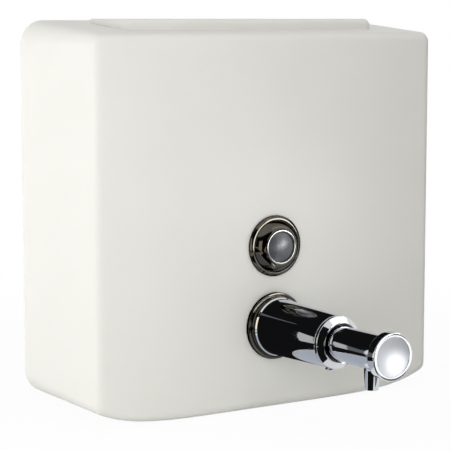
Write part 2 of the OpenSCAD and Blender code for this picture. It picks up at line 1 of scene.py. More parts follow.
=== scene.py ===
import bpy
import bmesh
import json
import numpy as np
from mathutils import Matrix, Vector


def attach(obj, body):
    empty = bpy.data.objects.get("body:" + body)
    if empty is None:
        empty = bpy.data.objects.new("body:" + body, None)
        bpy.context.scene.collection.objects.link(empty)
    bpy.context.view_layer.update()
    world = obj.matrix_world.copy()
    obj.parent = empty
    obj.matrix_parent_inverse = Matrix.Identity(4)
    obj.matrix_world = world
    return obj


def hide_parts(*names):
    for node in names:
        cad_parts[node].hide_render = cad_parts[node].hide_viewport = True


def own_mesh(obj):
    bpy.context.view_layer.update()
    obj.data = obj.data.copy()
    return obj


# White wall-mounted soap dispenser with a chrome push pump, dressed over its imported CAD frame.
# Lengths are in millimetres until they go into a mesh. Front is -Y, up is +Z, the wall is y = 0.
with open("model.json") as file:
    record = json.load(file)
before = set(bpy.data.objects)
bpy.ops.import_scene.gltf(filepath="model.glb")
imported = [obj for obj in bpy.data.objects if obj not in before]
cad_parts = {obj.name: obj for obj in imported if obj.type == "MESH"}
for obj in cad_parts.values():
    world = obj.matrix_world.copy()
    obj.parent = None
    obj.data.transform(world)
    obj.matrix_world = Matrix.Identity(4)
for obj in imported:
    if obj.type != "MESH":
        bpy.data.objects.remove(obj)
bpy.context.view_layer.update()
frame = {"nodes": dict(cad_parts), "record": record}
mm = 0.001
print("frame loaded,", len(frame["nodes"]), "nodes")

# places shared by several pieces
place = {"frontY": -68.0, "windowZ": -15.0, "pumpZ": -55.0, "backTopZ": 96.0, "topTilt": np.radians(5.37994)}

# how meshes are closed (metres) and where their shading breaks
meshing = {"weld": 2e-6, "sliver": 1e-6, "crease": np.radians(35)}


# points on the pump's or window's axis: local z runs out of the front, local y is up
def onFront(points, height):
    x, y, out = np.moveaxis(points, -1, 0)
    return np.stack([x, place["frontY"] - out, height + y], -1)


# points in the plane of the sloping top: local y runs up the slope to the wall, local z stands out of it
def onTop(points):
    x, y, z = np.moveaxis(points, -1, 0)
    c, s = np.cos(place["topTilt"]), np.sin(place["topTilt"])
    return np.stack([x, y * c - z * s, place["backTopZ"] + y * s + z * c], -1)


# every corner (x, y, r) of a closed outline becomes the arc of radius r that touches both its sides:
# centre + the turn from one touching direction to the other, for all corners at once
def rounded(corners, steps=5):
    p, r = np.split(np.asarray(corners, float), [2], 1)
    a = np.roll(p, 1, 0) - p
    b = np.roll(p, -1, 0) - p
    a /= np.linalg.norm(a, axis=1, keepdims=True)
    b /= np.linalg.norm(b, axis=1, keepdims=True)
    half = np.arccos(np.clip((a * b).sum(1, keepdims=True), -1, 1)) / 2
    middle = a + b
    middle /= np.maximum(np.linalg.norm(middle, axis=1, keepdims=True), 1e-9)
    centre = p + middle * r / np.sin(half)
    first = p + a * r / np.tan(half) - centre
    last = p + b * r / np.tan(half) - centre
    turn = np.maximum(np.pi - 2 * half, 1e-6)[:, None]
    t = np.linspace(0, 1, steps + 1)[None, :, None]
    arc = (np.sin((1 - t) * turn) * first[:, None] + np.sin(t * turn) * last[:, None]) / np.sin(turn)
    return (centre[:, None] + arc).reshape(-1, 2)


# the outline of a plain round plug, as (radius, height)
def plug(radius, low, high):
    return [(0, low), (radius, low), (radius, high), (0, high)]


# quads between neighbouring points of a grid that closes sideways; its ends are joined, capped or left open
def gridFaces(grid, wrapRows=False, caps=False):
    rows, cols = grid.shape[:2]
    i = np.arange(rows if wrapRows else rows - 1)[:, None]
    j = np.arange(cols)[None, :]
    iNext, jNext = (i + 1) % rows, (j + 1) % cols
    quads = np.stack([i * cols + j, i * cols + jNext, iNext * cols + jNext, iNext * cols + j], -1)
    faces = quads.reshape(-1, 4).tolist()
    if caps:
        faces += [list(range(cols))[::-1], list(range((rows - 1) * cols, rows * cols))]
    return grid.reshape(-1, 3), faces


# a profile of (radius, height) turned about local z: x = r cos a, y = r sin a
def turned(profile, around=96):
    a = np.linspace(0, 2 * np.pi, around, endpoint=False)
    r, h = np.asarray(profile).T
    return np.stack([np.outer(r, np.cos(a)), np.outer(r, np.sin(a)), np.outer(h, np.ones(around))], -1)


# the edge of a rectangle with round corners as (corner centre, outward direction) pairs;
# its lower side can bow down by bow (1 - u^6), u = -1..1 along the side, and the directions lean with it
def roundedPath(halfW, low, high, radius, bow=0.0, arcSteps=10, sideSteps=24):
    k = np.arange(4)
    reach = halfW - radius
    lean = np.arctan(6 * bow / reach) * np.array([[0, 0], [0, 0], [0, -1], [1, 0]])
    ends = np.stack([k, k + 1], -1) * np.pi / 2 + lean
    angle = ends[:, :1] + (ends[:, 1:] - ends[:, :1]) * np.linspace(0, 1, arcSteps + 1)[None, :]
    cx = np.where((k == 0) | (k == 3), 1, -1) * reach
    cy = np.where(k < 2, high - radius, low + radius)
    centre = np.stack([cx, cy], -1)
    t = (np.arange(1, sideSteps) / sideSteps)[None, :, None]
    side = centre[:, None] * (1 - t) + np.roll(centre, -1, 0)[:, None] * t
    sideAngle = np.repeat(angle[:, -1:], sideSteps - 1, 1)
    u = -np.cos(np.pi * t[0, :, 0])
    side[2] = np.stack([u * reach, low + radius - bow * (1 - u ** 6)], -1)
    sideAngle[2] = 1.5 * np.pi + np.arctan(6 * bow * u ** 5 / reach)
    corner = np.repeat(centre[:, None], arcSteps + 1, 1)
    centres = np.concatenate([corner, side], 1).reshape(-1, 2)
    angles = np.concatenate([angle, sideAngle], 1).reshape(-1)
    return centres, np.stack([np.cos(angles), np.sin(angles)], -1)


# smooth shading that breaks at sharp edges
def shadeEdges(mesh):
    mesh.shade_smooth()
    mesh.set_sharp_from_angle(angle=meshing["crease"])


# several (points, faces) shells become one mesh in metres, closed at seams and poles
def buildMesh(name, shells):
    points, faces, count = [], [], 0
    for shellPoints, shellFaces in shells:
        points.append(shellPoints)
        faces += [[v + count for v in face] for face in shellFaces]
        count += len(shellPoints)
    mesh = bpy.data.meshes.new(name)
    mesh.from_pydata((np.concatenate(points) * mm).tolist(), [], faces)
    tidy = bmesh.new()
    tidy.from_mesh(mesh)
    bmesh.ops.remove_doubles(tidy, verts=tidy.verts, dist=meshing["weld"])
    bmesh.ops.dissolve_degenerate(tidy, edges=tidy.edges, dist=meshing["sliver"])
    bmesh.ops.recalc_face_normals(tidy, faces=tidy.faces)
    tidy.to_mesh(mesh)
    tidy.free()
    shadeEdges(mesh)
    return mesh


# a piece turned about the pump's or window's axis; a ring has a hole, so its profile closes on itself
def turnedMesh(name, profile, height, ring=True, around=128):
    return buildMesh(name, [gridFaces(onFront(turned(profile, around), height), wrapRows=ring)])


# cuts holes with a Boolean and keeps the result as a plain mesh
def cutHoles(mesh, cutterMesh):
    base = bpy.data.objects.new("cutBase", mesh)
    cutter = bpy.data.objects.new("cutTool", cutterMesh)
    bpy.context.scene.collection.objects.link(base)
    bpy.context.scene.collection.objects.link(cutter)
    cut = base.modifiers.new("holes", "BOOLEAN")
    cut.object = cutter
    cut.operation = "DIFFERENCE"
    cut.solver = "EXACT"
    result = bpy.data.meshes.new_from_object(base.evaluated_get(bpy.context.evaluated_depsgraph_get()))
    bpy.data.objects.remove(base)
    bpy.data.objects.remove(cutter)
    shadeEdges(result)
    return result


# puts a mesh in the scene with its body, CAD node, material slot and that slot's finish, or one of its own
def addPiece(name, mesh, body, node, slotName, material=None):
    piece = bpy.data.objects.new(name, mesh)
    bpy.context.scene.collection.objects.link(piece)
    mesh.materials.clear()
    mesh.materials.append(material or finish[slotName])
    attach(piece, body)
    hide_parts(node)
    return piece


# sRGB hex to the linear colour that shaders take
def hexColour(code):
    c = np.array([int(code[i:i + 2], 16) for i in (1, 3, 5)]) / 255
    linear = np.where(c <= 0.04045, c / 12.92, ((c + 0.055) / 1.055) ** 2.4)
    return (*linear.tolist(), 1.0)


# adds one node with its settings and links
def addNode(tree, kind, settings=None, links=None):
    node = tree.nodes.new(kind)
    for key, value in (settings or {}).items():
        if isinstance(key, int) or key in node.inputs:
            node.inputs[key].default_value = value
        else:
            setattr(node, key, value)
    for key, source in (links or {}).items():
        tree.links.new(source, node.inputs[key])
    return node


# an empty material: its node tree, the socket that its shader goes into and the object's coordinates
def newMaterial(name):
    material = bpy.data.materials.new(name)
    material.use_nodes = True
    tree = material.node_tree
    tree.nodes.clear()
    surface = addNode(tree, "ShaderNodeOutputMaterial").inputs["Surface"]
    coords = addNode(tree, "ShaderNodeTexCoord").outputs["Object"]
    return material, tree, surface, coords


# distance of a point from the pump's or window's axis, which runs along Y at the given height
def fromAxis(tree, coords, height):
    centred = addNode(tree, "ShaderNodeVectorMath", {"operation": "SUBTRACT", 1: (0, 0, height * mm)}, {0: coords})
    flat = addNode(tree, "ShaderNodeVectorMath", {"operation": "MULTIPLY", 1: (1, 0, 1)}, {0: centred.outputs[0]})
    return addNode(tree, "ShaderNodeVectorMath", {"operation": "LENGTH"}, {0: flat.outputs[0]}).outputs["Value"]


# white epoxy powder coat, sprayed and baked: warm white, satin, with fine orange peel and faint clouding
def whitePowderCoat():
    paint = {"light": "#ECEBE6", "shade": "#E6E5DF", "smooth": 0.46, "dull": 0.55, "shine": 0.3, "cloudMm": 45,
             "peelMm": 0.9, "peelDepthMm": 0.1, "peelShare": 0.1}
    material, tree, surface, coords = newMaterial("whitePowderCoat")
    cloud = addNode(tree, "ShaderNodeTexNoise", {"Scale": 1000 / paint["cloudMm"], "Detail": 3.0},
                    {"Vector": coords}).outputs["Fac"]
    tint = addNode(tree, "ShaderNodeMix", {"data_type": "RGBA", 6: hexColour(paint["light"]),
                   7: hexColour(paint["shade"])}, {0: cloud})
    gloss = addNode(tree, "ShaderNodeMapRange", {"To Min": paint["smooth"], "To Max": paint["dull"]}, {"Value": cloud})
    peel = addNode(tree, "ShaderNodeTexNoise", {"Scale": 1000 / paint["peelMm"], "Detail": 2.0}, {"Vector": coords})
    bump = addNode(tree, "ShaderNodeBump", {"Strength": paint["peelShare"], "Distance": paint["peelDepthMm"] * mm},
                   {"Height": peel.outputs["Fac"]})
    shader = addNode(tree, "ShaderNodeBsdfPrincipled", {"Specular IOR Level": paint["shine"]},
                     {"Base Color": tint.outputs[2], "Roughness": gloss.outputs[0], "Normal": bump.outputs[0]})
    tree.links.new(shader.outputs[0], surface)
    return material


# bright chrome plate over polished brass: a near mirror, cool grey, with a trace of wiping haze;
# the dish of the button is bead-blasted before plating, which turns its reflections into a soft glow
def chromePlate(name, dished=False):
    plate = {"bright": "#D3D5D8", "haze": "#C6C9CD", "smooth": 0.035, "hazy": 0.085, "wipeMm": 9,
             "hazeFrom": 0.35, "hazeTo": 0.75, "satin": 0.45, "dishMm": 9.35, "dishSoftMm": 0.2, "dishFromMm": 161.5}
    material, tree, surface, coords = newMaterial(name)
    wipe = addNode(tree, "ShaderNodeTexNoise", {"Scale": 1000 / plate["wipeMm"], "Detail": 4.0},
                   {"Vector": coords}).outputs["Fac"]
    tint = addNode(tree, "ShaderNodeMix", {"data_type": "RGBA", 6: hexColour(plate["bright"]),
                   7: hexColour(plate["haze"])}, {0: wipe})
    gloss = addNode(tree, "ShaderNodeMapRange", {"From Min": plate["hazeFrom"], "From Max": plate["hazeTo"],
                    "To Min": plate["smooth"], "To Max": plate["hazy"]}, {"Value": wipe}).outputs[0]
    if dished:
        inside = addNode(tree, "ShaderNodeMapRange", {"From Min": (plate["dishMm"] - plate["dishSoftMm"]) * mm,
                         "From Max": plate["dishMm"] * mm, "To Min": 1.0, "To Max": 0.0},
                         {"Value": fromAxis(tree, coords, place["pumpZ"])})
        depth = addNode(tree, "ShaderNodeSeparateXYZ", {}, {0: coords}).outputs["Y"]
        front = addNode(tree, "ShaderNodeMath", {"operation": "LESS_THAN", 1: -plate["dishFromMm"] * mm}, {0: depth})
        mask = addNode(tree, "ShaderNodeMath", {"operation": "MULTIPLY"}, {0: inside.outputs[0], 1: front.outputs[0]})
        gloss = addNode(tree, "ShaderNodeMix", {"data_type": "FLOAT", 3: plate["satin"]},
                        {0: mask.outputs[0], 2: gloss}).outputs[0]
    shader = addNode(tree, "ShaderNodeBsdfPrincipled", {"Metallic": 1.0},
                     {"Base Color": tint.outputs[2], "Roughness": gloss})
    tree.links.new(shader.outputs[0], surface)
    return material


# black nickel plate: the same mirror, but smoked and a little brown; the bead round the lens is rubbed bright
def blackNickel():
    plate = {"bright": "#5C5952", "haze": "#4E4B45", "smooth": 0.06, "hazy": 0.12, "wipeMm": 6,
             "hazeFrom": 0.35, "hazeTo": 0.75, "rubbed": "#9A9996", "beadMm": 8.75, "beadSoftMm": 0.1}
    material, tree, surface, coords = newMaterial("blackNickel")
    wipe = addNode(tree, "ShaderNodeTexNoise", {"Scale": 1000 / plate["wipeMm"], "Detail": 4.0},
                   {"Vector": coords}).outputs["Fac"]
    tint = addNode(tree, "ShaderNodeMix", {"data_type": "RGBA", 6: hexColour(plate["bright"]),
                   7: hexColour(plate["haze"])}, {0: wipe})
    gloss = addNode(tree, "ShaderNodeMapRange", {"From Min": plate["hazeFrom"], "From Max": plate["hazeTo"],
                    "To Min": plate["smooth"], "To Max": plate["hazy"]}, {"Value": wipe})
    bead = addNode(tree, "ShaderNodeMapRange", {"From Min": (plate["beadMm"] - plate["beadSoftMm"]) * mm,
                   "From Max": (plate["beadMm"] + plate["beadSoftMm"]) * mm, "To Min": 1.0, "To Max": 0.0},
                   {"Value": fromAxis(tree, coords, place["windowZ"])})
    tint = addNode(tree, "ShaderNodeMix", {"data_type": "RGBA", 7: hexColour(plate["rubbed"])},
                   {0: bead.outputs[0], 6: tint.outputs[2]})
    shader = addNode(tree, "ShaderNodeBsdfPrincipled", {"Metallic": 1.0},
                     {"Base Color": tint.outputs[2], "Roughness": gloss.outputs[0]})
    tree.links.new(shader.outputs[0], surface)
    return material


# steel with a zinc plating: soft grey, slightly blotched by the bath
def zincPlate():
    zinc = {"light": "#B9BBBC", "dark": "#9C9FA3", "smooth": 0.3, "dull": 0.48, "blotchMm": 7}
    material, tree, surface, coords = newMaterial("zincPlatedSteel")
    blotch = addNode(tree, "ShaderNodeTexVoronoi", {"Scale": 1000 / zinc["blotchMm"], "feature": "SMOOTH_F1"},
                     {"Vector": coords}).outputs["Distance"]
    tint = addNode(tree, "ShaderNodeMix", {"data_type": "RGBA", 6: hexColour(zinc["light"]),
                   7: hexColour(zinc["dark"])}, {0: blotch})
    gloss = addNode(tree, "ShaderNodeMapRange", {"To Min": zinc["smooth"], "To Max": zinc["dull"]}, {"Value": blotch})
    shader = addNode(tree, "ShaderNodeBsdfPrincipled", {"Metallic": 1.0},
                     {"Base Color": tint.outputs[2], "Roughness": gloss.outputs[0]})
    tree.links.new(shader.outputs[0], surface)
    return material


# stainless steel sheet, belt-ground along X: fine lines that stretch the highlights,
# drawn coarser than a belt leaves them so that they show
def groundStainless():
    steel = {"light": "#C9C8C4", "dark": "#A9A8A5", "smooth": 0.22, "dull": 0.42, "lineMm": 0.35, "lengthMm": 20,
             "lineDepthMm": 0.1, "lineShare": 0.08}
    material, tree, surface, coords = newMaterial("groundStainless")
    lineScale, lengthScale = 1000 / steel["lineMm"], 1000 / steel["lengthMm"]
    stretch = addNode(tree, "ShaderNodeMapping", {"Scale": (lengthScale, lineScale, lineScale)}, {"Vector": coords})
    lines = addNode(tree, "ShaderNodeTexNoise", {"Scale": 1.0, "Detail": 3.0},
                    {"Vector": stretch.outputs[0]}).outputs["Fac"]
    tint = addNode(tree, "ShaderNodeMix", {"data_type": "RGBA", 6: hexColour(steel["light"]),
                   7: hexColour(steel["dark"])}, {0: lines})
    gloss = addNode(tree, "ShaderNodeMapRange", {"To Min": steel["smooth"], "To Max": steel["dull"]}, {"Value": lines})
    bump = addNode(tree, "ShaderNodeBump", {"Strength": steel["lineShare"], "Distance": steel["lineDepthMm"] * mm},
                   {"Height": lines})
    shader = addNode(tree, "ShaderNodeBsdfPrincipled", {"Metallic": 1.0},
                     {"Base Color": tint.outputs[2], "Roughness": gloss.outputs[0], "Normal": bump.outputs[0]})
    tree.links.new(shader.outputs[0], surface)
    return material


# natural polyethylene, blow moulded: milky, waxy, a little light goes into it
def milkyPolyethylene():
    milk = {"light": "#E4E7E3", "dark": "#D8DCD8", "roughness": 0.45, "waxMm": 14, "waxDepthMm": 0.4, "waxShare": 0.15,
            "depthShare": 0.25, "lightDepthMm": 3}
    material, tree, surface, coords = newMaterial("milkyPolyethylene")
    wax = addNode(tree, "ShaderNodeTexNoise", {"Scale": 1000 / milk["waxMm"], "Detail": 2.0},
                  {"Vector": coords}).outputs["Fac"]
    tint = addNode(tree, "ShaderNodeMix", {"data_type": "RGBA", 6: hexColour(milk["light"]),
                   7: hexColour(milk["dark"])}, {0: wax})
    bump = addNode(tree, "ShaderNodeBump", {"Strength": milk["waxShare"], "Distance": milk["waxDepthMm"] * mm},
                   {"Height": wax})
    shader = addNode(tree, "ShaderNodeBsdfPrincipled", {"Roughness": milk["roughness"],
                     "Subsurface Weight": milk["depthShare"], "Subsurface Scale": milk["lightDepthMm"] * mm},
                     {"Base Color": tint.outputs[2], "Normal": bump.outputs[0]})
    tree.links.new(shader.outputs[0], surface)
    return material


# acetal turned from black rod: near black, dull sheen, fine tool marks, drawn coarse enough to show
def blackAcetal():
    acetal = {"light": "#232427", "dark": "#151618", "roughness": 0.42, "toolMm": 0.6, "waver": 0.4}
    material, tree, surface, coords = newMaterial("blackAcetal")
    marks = addNode(tree, "ShaderNodeTexWave", {"Scale": 100 / acetal["toolMm"], "bands_direction": "Y",
                    "Distortion": acetal["waver"]}, {"Vector": coords})
    tint = addNode(tree, "ShaderNodeMix", {"data_type": "RGBA", 6: hexColour(acetal["light"]),
                   7: hexColour(acetal["dark"])}, {0: marks.outputs["Fac"]})
    shader = addNode(tree, "ShaderNodeBsdfPrincipled", {"Roughness": acetal["roughness"]},
                     {"Base Color": tint.outputs[2]})
    tree.links.new(shader.outputs[0], surface)
    return material


# moulded black rubber: dusty black, no gloss, fine grain, drawn coarse enough to show
def blackRubber():
    rubber = {"light": "#2A2A2A", "dark": "#1C1C1C", "roughness": 0.75, "grainMm": 0.5, "grainDepthMm": 0.1,
              "grainShare": 0.2}
    material, tree, surface, coords = newMaterial("blackRubber")
    grain = addNode(tree, "ShaderNodeTexNoise", {"Scale": 1000 / rubber["grainMm"], "Detail": 2.0},
                    {"Vector": coords}).outputs["Fac"]
    tint = addNode(tree, "ShaderNodeMix", {"data_type": "RGBA", 6: hexColour(rubber["light"]),
                   7: hexColour(rubber["dark"])}, {0: grain})
    bump = addNode(tree, "ShaderNodeBump", {"Strength": rubber["grainShare"], "Distance": rubber["grainDepthMm"] * mm},
                   {"Height": grain})
    shader = addNode(tree, "ShaderNodeBsdfPrincipled", {"Roughness": rubber["roughness"]},
                     {"Base Color": tint.outputs[2], "Normal": bump.outputs[0]})
    tree.links.new(shader.outputs[0], surface)
    return material


# moulded smoke-grey acrylic: glossy outside, satin inside, so it shows a soft grey glow more than a view through
def smokedAcrylic():
    acrylic = {"light": "#4C5156", "dark": "#3D4247", "smooth": 0.33, "hazy": 0.38, "hazeMm": 6, "clear": 0.15,
               "shine": 1.0, "ior": 1.49}
    material, tree, surface, coords = newMaterial("smokedAcrylic")
    haze = addNode(tree, "ShaderNodeTexNoise", {"Scale": 1000 / acrylic["hazeMm"], "Detail": 2.0},
                   {"Vector": coords}).outputs["Fac"]
    tint = addNode(tree, "ShaderNodeMix", {"data_type": "RGBA", 6: hexColour(acrylic["light"]),
                   7: hexColour(acrylic["dark"])}, {0: haze})
    gloss = addNode(tree, "ShaderNodeMapRange", {"To Min": acrylic["smooth"], "To Max": acrylic["hazy"]},
                    {"Value": haze})
    shader = addNode(tree, "ShaderNodeBsdfPrincipled", {"Transmission Weight": acrylic["clear"],
                     "Specular IOR Level": acrylic["shine"], "IOR": acrylic["ior"]},
                     {"Base Color": tint.outputs[2], "Roughness": gloss.outputs[0]})
    tree.links.new(shader.outputs[0], surface)
    return material


finish = {"white_powder_coat": whitePowderCoat(), "chrome_plate": chromePlate("chromePlate"),
          "black_nickel": blackNickel(), "zinc_plated_steel": zincPlate(), "stainless_steel": groundStainless(),
          "milky_polyethylene": milkyPolyethylene(), "black_acetal": blackAcetal(), "black_rubber": blackRubber(),
          "clear_acrylic": smokedAcrylic()}

# the CAD nodes that keep their shape take the finish of their slot
for part in frame["record"]["subparts"]:
    node = frame["nodes"][part["node"]]
    node.data.materials.clear()
    node.data.materials.append(finish[part["material_slot"]])
print("finishes ready,", len(finish))

# drawn steel case; the throat and the hinge slot are (half width, low, high, corner) in the sloping top
case = {"frontHalf": 99.0, "backHalf": 104.0, "low": -90.0, "frontTop": 90.0, "backTop": 96.0, "depth": 68.0,
        "corner": 12.0, "frontCorner": 5.2, "bow": 7.0, "bend": 4.2, "lowBend": 4.6, "sheet": 1.0,
        "rows": [0, 0.01, 0.15, 0.3, 0.5, 0.7, 0.85, 0.97], "bendSteps": 12, "flatEdge": 0.3,
        "bore": 11.0, "boreCut": 6.0, "throat": (60, -48, -24, 4), "hingeSlot": (61.2, -11.35, -6.65, 0.4),
        "topCut": 3.0, "grubHole": 2.0, "grubCut": 3.0, "grubXs": (-40, 40), "grubY": -7.0}


# for each outward direction n round the edge: a straight draft line from the wall to the point where it
# touches the bend, then the bend (centre + r cos a outward + r sin a forward) up to the flat front
def caseSkin(inset):
    corner, frontCorner = case["corner"], case["frontCorner"]
    cBack, n = roundedPath(case["backHalf"], case["low"], case["backTop"], corner, case["bow"])
    cFront, n = roundedPath(case["frontHalf"], case["low"], case["frontTop"], frontCorner, case["bow"])
    ease = np.clip(-n[:, 1], 0, 1) ** 2
    full = case["bend"] + (case["lowBend"] - case["bend"]) * ease
    r = full - inset
    outA = ((cBack - cFront) * n).sum(1) + corner - frontCorner + full
    backB = case["depth"] - full
    touch = np.arccos(full / np.hypot(outA, backB)) - np.arctan2(backB, outA)
    tube = cFront + n * (frontCorner - full)[:, None]
    wall = cBack + n * (corner - inset)
    t = np.array(case["rows"])[:, None]
    meetXz = tube + n * (r * np.cos(touch))[:, None]
    meetY = -backB - r * np.sin(touch)
    lineXz = wall * (1 - t[:, :, None]) + meetXz * t[:, :, None]
    lineY = t * meetY
    a = touch + (np.pi / 2 - touch) * np.linspace(0, 1, case["bendSteps"] + 1)[:, None]
    bendXz = tube + n * (r * np.cos(a))[:, :, None]
    bendY = -backB - r * np.sin(a)
    flatXz = tube - n * case["flatEdge"]
    flatY = np.full(len(n), inset - case["depth"])
    xz = np.concatenate([lineXz, bendXz, flatXz[None]])
    y = np.concatenate([lineY, bendY, flatY[None]])
    return np.stack([xz[..., 0], y, xz[..., 1]], -1)


# a block across the sloping top with a round-cornered outline
def topBlock(halfW, low, high, radius):
    centres, n = roundedPath(halfW, low, high, radius)
    edge = centres + n * radius
    levels = (-case["topCut"], case["topCut"])
    return onTop(np.stack([np.column_stack([edge, np.full(len(edge), z)]) for z in levels]))


skin = np.concatenate([caseSkin(case["sheet"])[::-1], caseSkin(0.0)])
bore = turned(plug(case["bore"], -case["boreCut"], case["boreCut"]))
grubHole = turned(plug(case["grubHole"], -case["grubCut"], case["grubCut"]), 32)
grubZ = case["low"] - case["bow"]
cutters = [gridFaces(onFront(bore, place[axis])) for axis in ("pumpZ", "windowZ")]
cutters += [gridFaces(topBlock(*case[opening]), caps=True) for opening in ("throat", "hingeSlot")]
cutters += [gridFaces(grubHole + np.array([x, case["grubY"], grubZ])) for x in case["grubXs"]]
caseMesh = cutHoles(buildMesh("caseCover", [gridFaces(skin, caps=True)]), buildMesh("caseCutter", cutters))
addPiece("case_skin", caseMesh, "case", "case_cover", "white_powder_coat")
print("case ready,", len(caseMesh.polygons), "faces")

# filler lid: a level cap on the sloping top with rounded shoulders, its two knuckles and the lock's hole
lid = {"halfW": 74.0, "front": -51.0, "back": -11.525, "corner": 5.0, "top": 96.7, "wall": 1.2, "foot": 0.05,
       "shoulder": 2.6, "endDrop": 4.0, "endWide": 1.25, "wallShare": 0.7, "shoulderSteps": 8, "flatEdge": 0.15,
       "innerCorner": 0.1, "innerWall": 0.05, "lockY": -41.55, "lockHole": 5.5, "lockCut": (80, 100),
       "hingeY": -9.0, "hingeZ": -1.2, "knuckle": 2.0, "knuckleEdge": 0.3, "tongue": 0.6, "tongueLift": 0.25,
       "tongueOver": 0.6, "tongueInset": 0.2, "spans": [(-39.65, -12.35), (12.35, 39.65)]}
lidCentres, lidN = roundedPath(lid["halfW"], lid["front"], lid["back"], lid["corner"])


# the lid's edge, drawn in by an inset, at a height; both may vary round the edge
def lidRow(inset, height):
    edge = lidCentres + lidN * np.reshape(lid["corner"] - inset, (-1, 1))
    return np.column_stack([edge, np.broadcast_to(height, len(edge))])


# the foot of the lid follows the slope: z = back edge + y tan(tilt) + foot / cos(tilt)
def lidFoot(inset):
    x, y, z = lidRow(inset, place["backTopZ"]).T
    return np.column_stack([x, y, z + y * np.tan(place["topTilt"]) + lid["foot"] / np.cos(place["topTilt"])])


# shoulder: a quarter ellipse, higher and wider at the two ends of the lid and smaller where its wall is low:
# inset wide (1 - cos a), drop (1 - sin a)
outerFoot, innerFoot = lidFoot(0.0), lidFoot(lid["wall"])
ends = lidN[:, 0] ** 2
drop = np.minimum(lid["shoulder"] + (lid["endDrop"] - lid["shoulder"]) * ends,
                  lid["wallShare"] * (lid["top"] - outerFoot[:, 2]))
wide = drop * (1 + (lid["endWide"] - 1) * ends)
quarter = np.linspace(0, np.pi / 2, lid["shoulderSteps"] + 1)[:, None]
shoulderXy = lidCentres + lidN * (lid["corner"] - wide * (1 - np.cos(quarter)))[:, :, None]
shoulder = np.concatenate([shoulderXy, (lid["top"] - drop * (1 - np.sin(quarter)))[:, :, None]], -1)
plateau = lidRow(wide + lid["flatEdge"], lid["top"])
ceiling = lid["top"] - lid["wall"]
innerTop = lidRow(np.minimum(lid["wall"] + wide, lid["corner"] - lid["innerCorner"]), ceiling)
innerMid = lidRow(lid["wall"], np.maximum(ceiling - drop, innerFoot[:, 2] + lid["innerWall"]))
lidGrid = np.concatenate([np.stack([innerTop, innerMid, innerFoot, outerFoot]), shoulder, plateau[None]])
lockCutter = turned(plug(lid["lockHole"], *lid["lockCut"]), 64) + np.array([0, lid["lockY"], 0])
lidMesh = cutHoles(buildMesh("fillerLid", [gridFaces(lidGrid, caps=True)]),
                   buildMesh("lidCutter", [gridFaces(lockCutter)]))


# a knuckle is a turned barrel laid along X; its tongue is a flat strip back to the lid
def knuckleShells(x0, x1):
    k, edge = lid["knuckle"], lid["knuckleEdge"]
    barrel = turned(rounded([(0, x0, 0), (k, x0, edge), (k, x1, edge), (0, x1, 0)]), 32)
    barrel = np.stack([barrel[..., 2], lid["hingeY"] + barrel[..., 0], lid["hingeZ"] + barrel[..., 1]], -1)
    y0, y1 = lid["back"] - lid["tongueOver"], lid["hingeY"]
    z0, z1 = lid["tongueLift"], lid["tongueLift"] + lid["tongue"]
    outline = np.array([(y0, z0), (y1, z0), (y1, z1), (y0, z1)])
    strip = np.stack([np.column_stack([np.full(4, x), outline])
                      for x in (x0 + lid["tongueInset"], x1 - lid["tongueInset"])])
    return [gridFaces(onTop(barrel)), gridFaces(onTop(strip), caps=True)]


knuckles = buildMesh("lidKnuckles", [shell for span in lid["spans"] for shell in knuckleShells(*span)])
joined = bmesh.new()
joined.from_mesh(lidMesh)
joined.from_mesh(knuckles)
joined.to_mesh(lidMesh)
joined.free()
shadeEdges(lidMesh)
addPiece("lid_skin", lidMesh, "lid", "filler_lid", "white_powder_coat")
print("lid ready,", len(lidMesh.polygons), "faces")

# the profiles of turned pieces below are lists of (radius, distance out of the front, rounding)

# sight window: a round rim, a groove, a crown that climbs to the lens and a bead round it
window = {"rim": [(9.5, -16.0, 0.1), (10.8, -16.0, 0.2), (10.8, 0.0, 0.02),  # shank
                  (14.7, 0.0, 0.2), (15.2, 0.6, 0.3), (15.2, 1.5, 0.4), (14.0, 2.5, 0.25),  # rim
                  (13.2, 2.6, 0.2), (13.05, 1.8, 0.04), (12.95, 1.8, 0.04)],  # groove
          "crownFrom": (12.9, 2.4), "crownTo": (8.85, 6.3), "swell": 0.2, "crownSteps": 24,
          "bead": [(8.75, 6.45, 0.05), (8.55, 7.2, 0.35), (7.65, 7.2, 0.3), (7.65, 5.2, 0.1), (9.5, 5.2, 0.1)],
          "lens": 7.6, "lensRim": 6.4, "dome": 2.2, "lensWall": 1.3, "outSteps": 26, "inSteps": 20,
          "lensSide": [(7.6, 4.8), (9.45, 4.8), (9.45, 2.2), (6.3, 2.2)]}

# crown: r falls evenly from the rim to the bead while the height climbs as u + 0.2 sin(pi u)
u = np.linspace(0, 1, window["crownSteps"])
(crownR, crownH), (beadR, beadH) = window["crownFrom"], window["crownTo"]
crown = np.stack([crownR + (beadR - crownR) * u,
                  crownH + (beadH - crownH) * (u + window["swell"] * np.sin(np.pi * u))], -1)
bezelProfile = np.concatenate([rounded(window["rim"]), crown, rounded(window["bead"])])
bezelMesh = turnedMesh("windowBezel", bezelProfile, place["windowZ"])
addPiece("window_frame", bezelMesh, "case", "window_bezel", "black_nickel")

